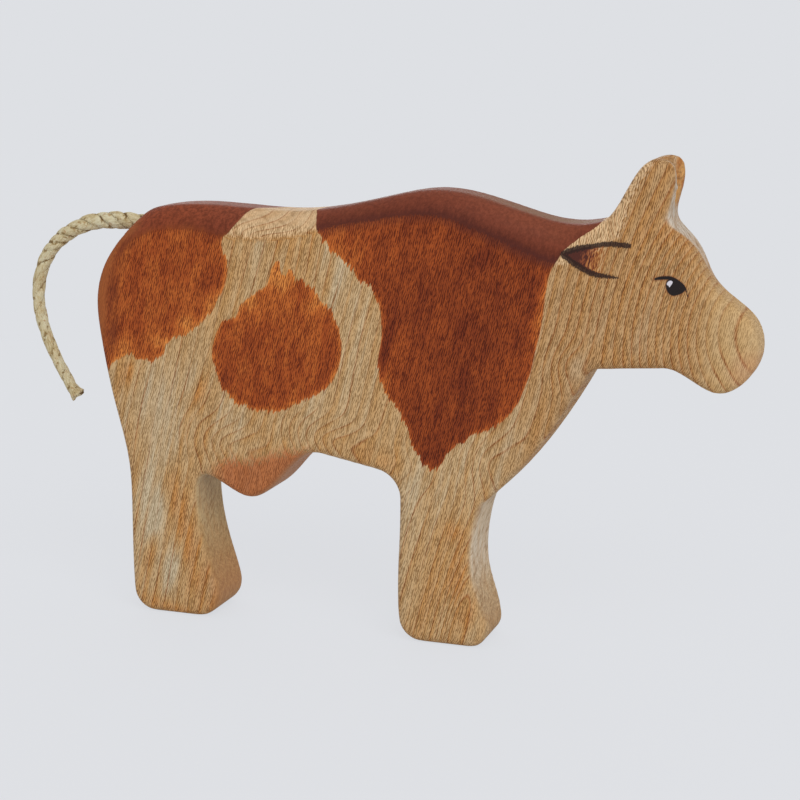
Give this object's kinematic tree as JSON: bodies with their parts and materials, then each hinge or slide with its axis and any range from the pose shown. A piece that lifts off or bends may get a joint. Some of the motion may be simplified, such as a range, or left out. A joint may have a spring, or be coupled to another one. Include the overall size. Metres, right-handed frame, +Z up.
{
  "type": "cow figurine",
  "caption": "Flat cow figurine cut from one wooden board, with block-shaped leg pairs, notched horns and a curved rope tail; it stands on its soles.",
  "frame": {"origin": "on the floor under the middle of the wooden body, halfway between rump and muzzle and between the flanks", "axes": "+X towards the muzzle, +Y from the right flank to the left flank, +Z up"},
  "size_m": [0.1876, 0.017, 0.1194],
  "materials": {
    "stained_wood": "pale close-grained hardwood, sanded smooth, with red-brown stain brushed on in patches",
    "natural_rope": "twisted natural-fibre rope, undyed, with a cut end"
  },
  "bodies": {
    "root": {"wooden_body": "stained_wood", "tail_rope": "natural_rope"}
  },
  "joints": []
}
